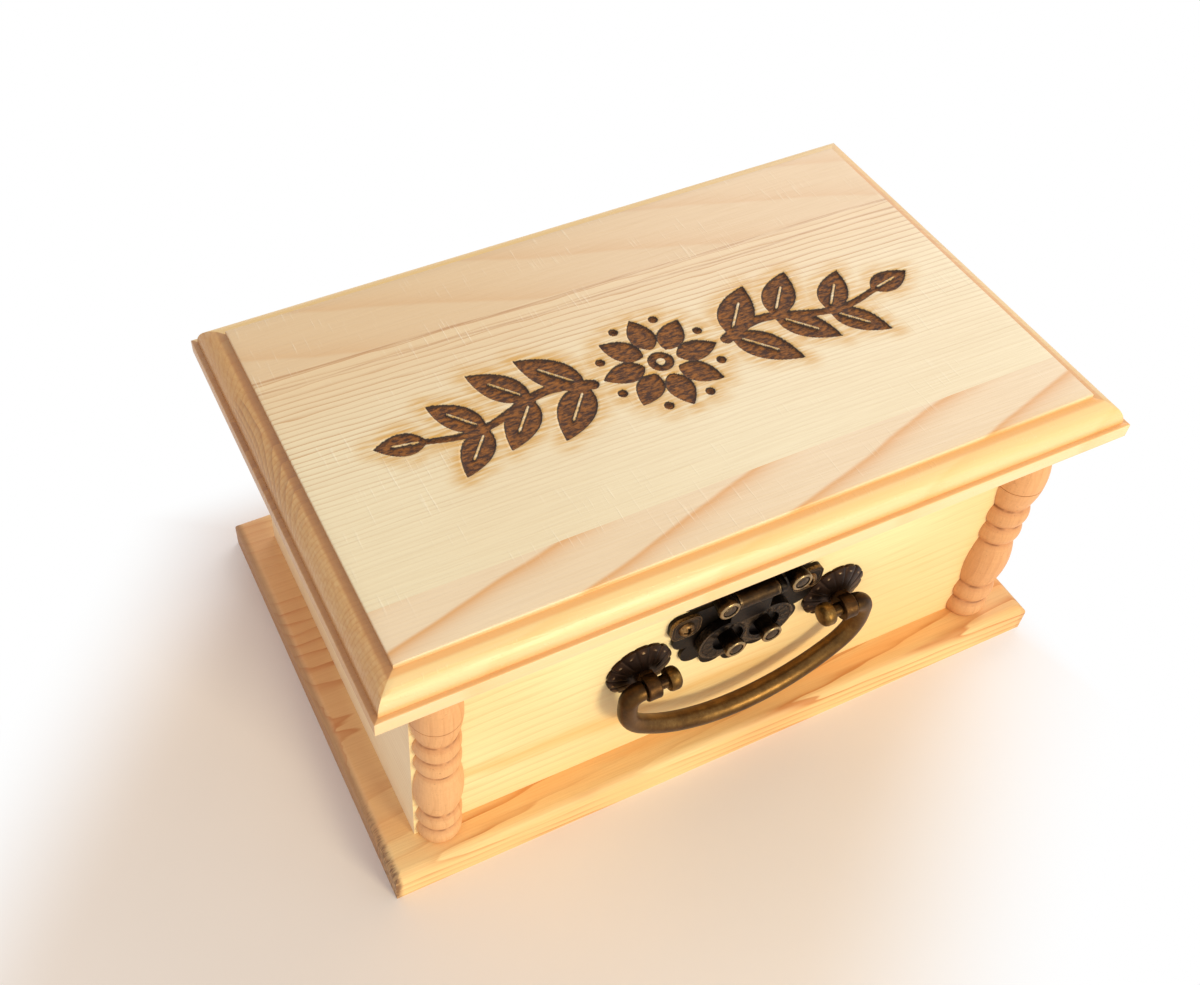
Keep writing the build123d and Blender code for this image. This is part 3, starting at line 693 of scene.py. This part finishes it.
# %% [markdown]
# ## The burn
# The cuts were burnt in: brown and mottled on the floor, dark along the rim, with a yellow scorch around them
# that spreads along the grain. The dark rim is partly charring and partly painted shade of the cut's wall.
# All three read the distance that the mesh carries at each point, made slightly ragged. A burnt floor is
# dull, the varnished wood around it shines.

# %% Burn, and the lid's piece
SCORCH, CHAR_DARK, CHAR_BROWN, CHAR_AND_SHADE_RIM = (218, 164, 70), (62, 27, 2), (162, 98, 32), (38, 16, 2)
SCORCH_REACH, RIM_WIDTH, RIM_SOFT, BURN_EDGE = 7.0, 0.70, 0.6, 0.12

ragged = attribute(tree, "burn") + (noise(x * 1.4, y * 1.4, z, detail=2.0) - 0.5) * 0.4
spread = noise(x * 0.10, y * 0.9, z, detail=2.0)
scorch = ragged.smooth(SCORCH_REACH, 0.0) * spread.smooth(0.25, 0.66)
wood = (scorch * 0.95).blend(wood, SCORCH)
mottle = noise(x * 0.38, y * 0.95, z, detail=4.0, roughness=0.68)
char = mottle.smooth(0.38, 0.66).blend(CHAR_DARK, CHAR_BROWN)
# partly charring, partly painted shade of the cut's wall: a dark rim along each cut
char = (ragged + RIM_WIDTH).smooth(0.0, RIM_SOFT).blend(char, CHAR_AND_SHADE_RIM)
burnt = ragged.smooth(BURN_EDGE, -BURN_EDGE)
rough = (fibre * 0.2 + 0.30) * (1 - burnt) + burnt * 0.85
height = fibre * 0.5 + late * 0.35 + planed * 0.4 + burnt * mottle * 2.0
finish_material(tree, burnt.blend(wood, char), rough, height, relief=0.11, specular=0.75)
new_piece("carved_lid", np.concatenate([top, edge]), faces, lid_pine, "lid", "pine", ["lid_board"], 55.0,
          burn=burn)

# %% [markdown]
# ## Turned strips
# The half-round strips were turned between centres, so their grain runs upwards and their wood is a little
# redder. Their grooves hold painted shade: the wood is painted browner towards each groove, and a thin dark
# line, broken in places, lies in every groove. The wood has a few dark specks, and the tool left fine rings.

# %% Strip material
STRIP_PALE, STRIP_DARK = (238, 184, 132), (194, 126, 76)
GROOVE_SHADE_AND_TOOL_BROWN, SPECK_BROWN, GROOVE_LINE_SHADE = (190, 118, 70), (150, 92, 54), (138, 82, 44)
STRIP_FOOT, STRIP_RING, STRIP_REPEAT = 10.9, 8.0, 37.9

strip_pine, tree, axes = new_material("strip_pine")
x, y, z = axes
late, fibre = pine_figure(axes, "ZXY", (20.0, -40.0), (0.02, 0.03), 3.4)
colour = pine_colour(axes, late, fibre, STRIP_PALE, STRIP_DARK, 0.45)
place = ((z - STRIP_FOOT) / STRIP_REPEAT).fraction() * STRIP_REPEAT
groove = place.least(abs(place - STRIP_RING)).least(abs(place - 2 * STRIP_RING))
groove = groove.least(abs(place - STRIP_REPEAT))
groove_line_breaks = noise(x * 0.3, y * 0.3, z * 0.3, detail=2.0)
tool = noise(x * 0.06, y * 0.06, z * 2.6, detail=1.0)
speck = noise(x * 0.9, y * 0.9, z * 0.9, detail=3.0, roughness=0.65)
# painted shade browning towards each groove, with the tool's fine rings
colour = (groove.smooth(2.6, 0.2) * 0.38 + tool.smooth(0.4, 0.7) * 0.1).blend(colour, GROOVE_SHADE_AND_TOOL_BROWN)
colour = (speck.smooth(0.62, 0.76) * 0.5).blend(colour, SPECK_BROWN)
# painted shade: a thin dark line in every groove, broken in places
colour = (groove.smooth(0.8, 0.1) * groove_line_breaks.smooth(0.36, 0.66) * 0.8).blend(colour, GROOVE_LINE_SHADE)
finish_material(tree, colour, 0.45 + fibre * 0.2, fibre + tool * 0.8, relief=0.08)
dress(strip_pine, "left_strip", "right_strip", "left_strip_top", "right_strip_top")
print("strips: a ring and a barrel every", STRIP_REPEAT, "mm")

# %% [markdown]
# ## Dark bronze
# The fittings are plated to look like old bronze: nearly black in the hollows, brown on the open faces, and
# rubbed to brass where hands and edges meet. The rub follows a cloudy noise, so no edge is worn evenly. A
# piece made here may also carry a mark per point that says where it is rubbed most. On some pieces the mark
# also paints light and shade: painted reflection on the bail, painted highlights on the rosettes' beads,
# painted shade on the studs' shafts and in the screws' crosses.

# %% Bronze materials
METALLIC = 0.9
BRASS = (176, 140, 82)


def tarnish(x, y, z, coarse, fine):
    """Two noises of old metal: broad clouds and small specks, at these scales per millimetre."""
    cloud = noise(x * coarse, y * coarse, z * coarse, detail=4.0, roughness=0.6)
    speck = noise(x * fine, y * fine, z * fine, detail=3.0, roughness=0.65)
    return cloud, speck


def bronze(name, dark, brown, rubbed=BRASS, wear=0.0, marked=False, rough=0.40, patchy=1.0):
    """Plated metal; wear is the share that is rubbed to brass, in patches; a mark adds to it and to the tone,
    and on some pieces it also carries painted light and shade.
    """
    material, tree, (x, y, z) = new_material(name)
    cloud, speck = tarnish(x, y, z, 0.22, 1.6)
    rub = (cloud * 0.6 + speck * 0.4 - 0.5) * patchy + 0.5
    tone = (cloud - 0.5) * patchy + 0.5
    if marked:
        mark = attribute(tree, "mark")
        rub = rub + mark * 0.35
        tone = tone + mark * 0.3
    colour = tone.smooth(0.3, 0.75).blend(dark, brown)
    worn = rub.smooth(0.64 - 0.4 * wear, 0.90 - 0.4 * wear)
    finish_material(tree, worn.blend(colour, rubbed), rough - worn * 0.12 + speck * 0.08, speck,
                    relief=0.04, metallic=METALLIC)
    return material


plate_bronze = bronze("plate_bronze", (20, 16, 14), (42, 32, 25), wear=0.04)
post_bronze = bronze("post_bronze", (44, 27, 14), (84, 56, 28), wear=0.12)
hinge_bronze = bronze("hinge_bronze", (40, 30, 20), (86, 62, 34), wear=0.18)
steel_grey = bronze("steel_grey", (120, 120, 118), (160, 160, 158), (200, 200, 198), wear=0.2)
dress(plate_bronze, "latch_box_plate", "latch_lid_plate", "hasp_pin")
dress(steel_grey, "post_washers", "post_nuts")
for side in ("left", "right"):
    dress(post_bronze, f"{side}_eye_post")
    dress(hinge_bronze, f"{side}_hinge_box_leaf", f"{side}_hinge_lid_leaf", f"{side}_hinge_pin")
print("metals:", [m.name for m in (plate_bronze, post_bronze, hinge_bronze, steel_grey)])

# %% [markdown]
# ## The latch's leaf
# The hinged leaf is stamped: short strokes stand round each well like rays, the border is a raised line, and
# the barrel of its hinge is rubbed brown. These reliefs are a few tenths of a millimetre, so bump and colour
# carry them; both follow the distance from a well's middle and from the middle of the lobe around it.

# %% Leaf material
LEAF_Z, WELL_X, WELL_R, LOBE_X, LOBE_R = 57.7, 6.0, 5.0, 7.5, 8.0
BARREL_Z, BARREL_END, RAYS = 72.8, (5.4, 6.4), 15.0
LEAF_BLACK, LEAF_BROWN, LEAF_RUBBED = (20, 15, 13), (44, 33, 26), (128, 104, 76)
BARREL_DARK, BARREL_BROWN = (36, 25, 16), (72, 52, 31)

leaf_bronze, tree, (x, y, z) = new_material("leaf_bronze")
across, rise = abs(x) - WELL_X, z - LEAF_Z
from_well = (across * across + rise * rise) ** 0.5
from_lobe = ((abs(x) - LOBE_X) ** 2.0 + rise * rise) ** 0.5
rays = (rise.angle(across) * RAYS).sine() * 0.5 + 0.5
rays = rays * from_well.smooth(WELL_R + 0.2, WELL_R + 0.7) * from_lobe.smooth(LOBE_R - 0.9, LOBE_R - 1.3)
border = from_lobe.smooth(LOBE_R - 1.0, LOBE_R - 0.6) * z.smooth(LEAF_Z + 7.0, LEAF_Z + 5.5)
barrel = z.smooth(BARREL_Z - 0.3, BARREL_Z + 0.3)
cloud, speck = tarnish(x, y, z, 0.3, 1.8)
tone = cloud.smooth(0.3, 0.7)
colour = (barrel * 0.9).blend(tone.blend(LEAF_BLACK, LEAF_BROWN), tone.blend(BARREL_DARK, BARREL_BROWN))
barrel_ends = abs(x).smooth(*BARREL_END) * barrel
rub = (border * 0.6 + rays * 0.35 + barrel_ends * 0.8) * speck.smooth(0.35, 0.65)
finish_material(tree, rub.blend(colour, LEAF_RUBBED), 0.40 - rub * 0.1 + speck * 0.08,
                rays * 2.2 + border * 2.0 + speck * 0.35, relief=0.12, metallic=METALLIC)
dress(leaf_bronze, "hasp_leaf")
print("leaf dressed, with", RAYS, "rays round each well")

# %% [markdown]
# ## The latch's ears
# Each ear of the lower plate is a rounded square with a double rim: an edge and a fainter line inside it,
# both painted pale as painted highlights. The distance in from a rounded square's edge is its corner radius
# less the distance from its inner core.

# %% Ear material
EAR_X, EAR_Z, EAR_HALF_X, EAR_HALF_Z, EAR_ROUND = 20.0, 68.5, 4.75, 4.5, 3.0
EAR_DARK, EAR_BROWN, EAR_RIM_HIGHLIGHT = (28, 20, 14), (62, 44, 28), (142, 112, 76)

ear_bronze, tree, (x, y, z) = new_material("ear_bronze")
over_x = (abs(abs(x) - EAR_X) - (EAR_HALF_X - EAR_ROUND)).most(0.0)
over_z = (abs(z - EAR_Z) - (EAR_HALF_Z - EAR_ROUND)).most(0.0)
depth_in = EAR_ROUND - (over_x * over_x + over_z * over_z) ** 0.5
rim_lines = depth_in.smooth(0.4, 0.15).most(abs(depth_in - 1.0).smooth(0.25, 0.08) * 0.4)
cloud, speck = tarnish(x, y, z, 0.3, 1.8)
colour = cloud.smooth(0.3, 0.7).blend(EAR_DARK, EAR_BROWN)
# painted highlight: the rim lines are painted pale
rub = rim_lines * speck.smooth(0.3, 0.6) * 0.8
finish_material(tree, rub.blend(colour, EAR_RIM_HIGHLIGHT), 0.38 + speck * 0.08,
                rim_lines * 2.0 + speck * 0.35, relief=0.12, metallic=METALLIC)
dress(ear_bronze, "latch_box_ears")
print("ears dressed, at", EAR_X, "mm from the middle")

# %% [markdown]
# ## The bail's middle line
# The handle is a bent rod: a thin pivot through the eye, a shoulder, an elbow, a sweep and a bow that swells
# to the middle. We write its middle line as arcs end to end, from the right pivot to the middle of the bow,
# with the direction and thickness at each point, and mirror all three.

# %% Bail line
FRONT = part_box("front_panel")[0][1] / MM
bail_low, bail_high = box_mm("bail_handle")
EYE_X, EYE_WIDTH, GAP = 32.6, 4.2, 0.3
WIRE, GRIP, PIVOT, BEVEL = 2.9, 3.2, 2.0, 0.35
LEAD, ELBOW, DROP, SWEEP, SWEEP_TURN = 0.5, 3.8, 3.1, 15.5, math.radians(52.0)
STANDOFF, PIVOT_END = 2.6, 2.4
BAIL_Y, BAIL_Z = (bail_low[1] + bail_high[1]) / 2, bail_high[2] - WIRE
PIVOT_LENGTH = EYE_WIDTH + 2 * GAP + STANDOFF + PIVOT_END


def arc(center, radius, start, end, count):
    """Points on a circle about a centre, from one angle to another, with the direction they run in."""
    angle = np.linspace(start, end, count)
    way = 1.0 if end > start else -1.0
    points = np.stack([center[0] + radius * np.cos(angle), center[1] + radius * np.sin(angle)], 1)
    return points, way * np.stack([-np.sin(angle), np.cos(angle)], 1)


shoulder = EYE_X + EYE_WIDTH / 2 + GAP
elbow, elbow_way = arc((shoulder + LEAD, -ELBOW), ELBOW, math.pi / 2, 0.0, 10)
foot = elbow[-1] - (0.0, DROP)
sweep, sweep_way = arc((foot[0] - SWEEP, foot[1]), SWEEP, 0.0, -SWEEP_TURN, 14)
rest_turn = math.pi / 2 - SWEEP_TURN
bow_radius = sweep[-1, 0] / math.sin(rest_turn)
bow_center = sweep[-1, 1] + bow_radius * math.cos(rest_turn)
bow, bow_way = arc((0.0, bow_center), bow_radius, -math.pi / 2 + rest_turn, -math.pi / 2, 24)
pivot_x = [shoulder - PIVOT_LENGTH] * 2 + [shoulder] * 3 + [shoulder + BEVEL]
pivot = np.stack([pivot_x, np.zeros(len(pivot_x))], 1)
line = np.concatenate([pivot, elbow, sweep, bow[1:]])
way = np.concatenate([np.tile((1.0, 0.0), (len(pivot), 1)), elbow_way, sweep_way, bow_way[1:]])
swell = WIRE + (GRIP - WIRE) * (1 - (bow[1:, 0] / sweep[-1, 0]) ** 2)
bends = np.full(len(elbow) + len(sweep), WIRE)
thick = np.concatenate([[0.0, PIVOT, PIVOT, PIVOT, WIRE - BEVEL, WIRE], bends, swell])
line = np.concatenate([line, line[-2::-1] * (-1, 1)])
way = np.concatenate([way, way[-2::-1] * (1, -1)])
thick = np.concatenate([thick, thick[-2::-1]])
print("bail line:", len(line), "points, bow radius", round(bow_radius, 1), "mm")

# %% [markdown]
# ## The bail's rod
# A circle is carried along the middle line: at each point one of its axes lies across the line in the bail's
# plane and the other points to the front. The mark is high on the lower front side and low on the upper inner
# side. It is partly plating that fingers rub off and partly painted reflection: the lower front side lighter,
# the upper inner side darker.

# %% Bail mesh
ROD_SIDES = 32

bail_bronze = bronze("bail_bronze", (34, 19, 8), (108, 76, 38), (146, 112, 64), 0.05, True, 0.34, 0.45)
angle = np.linspace(0, 2 * math.pi, ROD_SIDES, endpoint=False)
normal = np.stack([-way[:, 1], way[:, 0]], 1)
ring_xz = line[:, None] + normal[:, None] * (thick[:, None, None] * np.cos(angle)[None, :, None])
ring_y = BAIL_Y - thick[:, None] * np.sin(angle)
points = np.stack([ring_xz[..., 0], ring_y, BAIL_Z + ring_xz[..., 1]], -1)
# partly wear, partly painted reflection: lighter on the lower front side, darker on the upper inner side
rub = 0.6 * np.clip(0.35 * np.sin(angle) - 0.75 * np.cos(angle) + 0.1, -0.4, 0.8) + 0 * thick[:, None]
quads = grid_quads(len(line), ROD_SIDES, wrap=True)
new_piece("bent_bail", points.reshape(-1, 3), quads, bail_bronze, "bail", "dark_bronze",
          ["bail_handle"], 60.0, mark=rub.ravel())

# %% [markdown]
# ## Knobs
# A rounded knob sits on each end of the bail, worn to brass by hands. It is a profile of radius and height
# carried round the pivot's axis.

# %% Knob mesh
KNOB_R, KNOB_T, SIDES = 3.5, 4.0, 40

knob_brass = bronze("knob_brass", (82, 56, 26), (140, 104, 52), wear=0.35)
knob = [(0, 0), (2.6, 0), (3.2, 0.2), (KNOB_R, 0.8), (KNOB_R, 2.5), (3.3, 3.2), (2.7, 3.75), (1.6, 3.95),
        (0, KNOB_T)]
shape, quads = turned(knob, SIDES)
knob_x = EYE_X - EYE_WIDTH / 2 - GAP - STANDOFF
places = [((side * knob_x, BAIL_Y, BAIL_Z), (-side, 0, 0), (0, side, 0)) for side in (-1, 1)]
new_piece("turned_knobs", *copies(shape, quads, places), knob_brass, "bail", "worn_brass",
          ["bail_knobs"], 45.0)

# %% [markdown]
# ## Studs
# Each stud of the latch is a rivet, a shaft that widens as the cube of its height, and a ring with a sunk
# disc in its end. Each row of the profile also says how much it is rubbed; the ring's rim is worn most. The
# shaft's low mark paints it darker: painted shade.

# %% Stud mesh
STUD_R, SHAFT_R, DISC_R, STUD_REACH, RIVET = 3.2, 2.6, 2.0, 8.4, 1.1
RING_START, SHAFT_ROWS = 1.7, 7
stud_bronze = bronze("stud_bronze", (28, 21, 16), (74, 56, 38), (166, 140, 100), 0.04, True, 0.34)


def stud_profile(length, floor):
    """Rows of radius, height and rub: rivet, flaring shaft, rounded ring, groove and sunk disc."""
    neck = np.linspace(0, 1, SHAFT_ROWS)
    # painted shade: the shaft's mark of -0.3 paints it darker
    shaft = [(SHAFT_R + (STUD_R - SHAFT_R) * s ** 3, s * (length - RING_START), -0.3) for s in neck]
    ring = [(STUD_R, -1.4, 0.0), (STUD_R, -0.35, 0.5), (STUD_R - 0.12, -0.1, 1.0), (STUD_R - 0.35, 0.0, 1.0)]
    groove = [(DISC_R + 0.42, 0.0, 0.9), (DISC_R + 0.22, -0.1, 0.4), (DISC_R + 0.12, -0.55, -0.4)]
    disc = [(DISC_R, -0.55, -0.4), (DISC_R - 0.1, -0.22, 0.4), (DISC_R - 0.3, -0.15, 0.45),
            (0.6, -0.12, 0.25), (0.0, -0.12, 0.25)]
    end = [(radius, length + drop, rub) for radius, drop, rub in ring + groove + disc]
    return np.array([(0.0, -floor, 0.0), (RIVET, -floor, 0.0), (RIVET, 0.0, 0.0)] + shaft + end)


def studs(name, node, body, seat, floor):
    """Studs at the node's two places, out from their seat on the front."""
    low, high = box_mm(node)
    rows = stud_profile(STUD_REACH - seat, floor)
    shape, quads = turned(rows[:, :2], SIDES)
    z = (low[2] + high[2]) / 2
    places = [((x, FRONT - seat, z), (0, -1, 0), (1, 0, 0)) for x in (low[0] + STUD_R, high[0] - STUD_R)]
    new_piece(name, *copies(shape, quads, places), stud_bronze, body, "worn_brass", [node], 45.0,
              mark=np.tile(np.repeat(rows[:, 2], SIDES), 2))


studs("leaf_studs", "hasp_studs", "hasp", 2.6, 1.0)
studs("lid_studs", "latch_lid_studs", "lid", 1.2, 1.2)

# %% [markdown]
# ## Rosettes
# Each rosette is a stamped disc of petals. It is a polar grid: the height falls in a curve from the middle to
# the rim, sinks in a narrow valley between petals, and rises in one small bead near each petal's tip. Each
# bead
# is painted pale: a painted highlight. The rim follows the petals.

# %% Rosette mesh
ROSETTE_R, BOSS_R, RIM_H, BOSS_H, FLUTES, FLUTE_SIDES = 10.3, 3.2, 0.9, 3.0, 14, 12
VALLEY_DEPTH, VALLEY_FROM, VALLEY_RUN, RIM_DIP = 0.16, 4.0, 1.5, 0.04
BEAD_PLACE, BEAD_LONG, BEAD_WIDE, BEAD_HEIGHT = 0.87, 0.32, 0.62, 0.22
rosette_bronze = bronze("rosette_bronze", (30, 18, 12), (60, 39, 26), (156, 128, 96), 0.0, True, 0.36, 0.5)


def rosette_shape():
    """Points, faces and rub of a rosette: height = rim + (boss - rim)(1 - s^1.6) - valley + bead."""
    radius = np.concatenate([np.linspace(0, ROSETTE_R, 44), [ROSETTE_R, 0.0]])[:, None]
    angle = np.linspace(0, 2 * math.pi, FLUTES * FLUTE_SIDES, endpoint=False)[None]
    petal = (angle * FLUTES / (2 * math.pi)) % 1.0 - 0.5
    valley = np.abs(2 * petal) ** 5
    s = np.clip((radius - BOSS_R) / (ROSETTE_R - BOSS_R), 0, 1)
    begin = np.clip((radius - VALLEY_FROM) / VALLEY_RUN, 0, 1)
    beside = petal * 2 * math.pi * radius / FLUTES / BEAD_WIDE
    bead = np.exp(-np.hypot((radius - BEAD_PLACE * ROSETTE_R) / BEAD_LONG, beside) ** 2)
    dome = RIM_H + (BOSS_H - RIM_H) * (1 - s ** 1.6)
    height = dome - VALLEY_DEPTH * valley * begin + BEAD_HEIGHT * bead
    height[-2:] = 0.0
    # painted highlight: the mark is high on each bead, which the material paints pale
    rub = 1.1 * bead - 0.25 * valley * begin
    return *polar(radius * (1 - RIM_DIP * valley * s), angle, height), rub.ravel()


shape, quads, rub = rosette_shape()
for side, name in ((-1, "left"), (1, "right")):
    place = [((side * EYE_X, FRONT, BAIL_Z), (0, -1, 0), (1, 0, 0))]
    new_piece(f"{name}_petal_rosette", *copies(shape, quads, place), rosette_bronze, "box_body",
              "dark_bronze", [f"{name}_rosette"], 60.0, mark=rub)

# %% [markdown]
# ## Screws
# The screws have round heads with a cross recess. The head is a polar grid whose height is a flat dome, less
# a pit where the point lies within either arm of the cross; the shank is plain. The mark is low in the pit,
# so
# the cross is painted dark: painted shade in the recess.

# %% Screw mesh
HEAD_R, HEAD_H, SHANK_R, SCREW_LENGTH, POINT = 2.6, 1.6, 1.3, 7.0, 2.0
ARM_HALF, ARM_REACH, PIT_EDGE, PIT_SOFT, PIT_DEPTH = 0.38, 1.55, 0.12, 0.25, 0.85


def screw_shape():
    """Points, faces and rub of a screw: dome height H sqrt(1 - (r/R)^2), less a pit shaped as a cross."""
    radius = np.concatenate([np.linspace(0, HEAD_R, 18), [HEAD_R, SHANK_R, SHANK_R, 0.0]])[:, None]
    angle = np.linspace(0, 2 * math.pi, 72, endpoint=False)[None]
    px, py = np.abs(radius * np.cos(angle)), np.abs(radius * np.sin(angle))
    upright = np.maximum(px - ARM_HALF, py - ARM_REACH)
    level = np.maximum(py - ARM_HALF, px - ARM_REACH)
    pit = np.clip(PIT_EDGE - np.minimum(upright, level), 0, PIT_SOFT) / PIT_SOFT
    height = HEAD_H * np.clip(1 - (radius / HEAD_R) ** 2, 0, 1) ** 0.5 - PIT_DEPTH * pit
    height[-4:] = np.array([0.0, 0.0, -SCREW_LENGTH + POINT, -SCREW_LENGTH])[:, None]
    # painted shade: the mark falls in the pit, so the material paints the cross dark
    return *polar(radius, angle, height), (0.3 - 1.5 * pit).ravel()


shape, quads, rub = screw_shape()
print("a screw has", len(quads), "quads")

# %% [markdown]
# ## Placing the screws
# Each CAD node's box gives its screws' height, the plane of their seats and the outermost column. The latch
# has one screw on each side, each hinge leaf has two.

# %% Screws on their plates
ONE, TWO = (0.0,), (0.0, 14.0)


def screws(name, node, body, slot, material, steps, way):
    """Screws on both sides, at these steps in from the node's outermost, their heads on the outer side."""
    low, high = box_mm(node)
    z, reach = (low[2] + high[2]) / 2, high[0] - HEAD_R
    seat = low[1] + HEAD_H if way < 0 else high[1] - HEAD_H
    columns = [side * (reach - step) for side in (-1, 1) for step in steps]
    places = [((x, seat, z), (0, way, 0), (1, 0, 0)) for x in columns]
    new_piece(name, *copies(shape, quads, places), material, body, slot, [node], 40.0,
              mark=np.tile(rub, len(places)))


screw_bronze = bronze("screw_bronze", (38, 26, 16), (112, 80, 46), (168, 132, 84), 0.2, True)
dark_screw = bronze("dark_screw", (26, 20, 14), (86, 62, 36), (150, 118, 72), 0.1, True)
screws("box_plate_screws", "latch_box_screws", "box_body", "worn_brass", screw_bronze, ONE, -1)
screws("lid_plate_screws", "latch_lid_screws", "lid", "worn_brass", screw_bronze, ONE, -1)
screws("box_hinge_screws", "hinge_box_screws", "box_body", "hinge_brass", dark_screw, TWO, 1)
screws("lid_hinge_screws", "hinge_lid_screws", "lid", "hinge_brass", dark_screw, TWO, 1)

# %% [markdown]
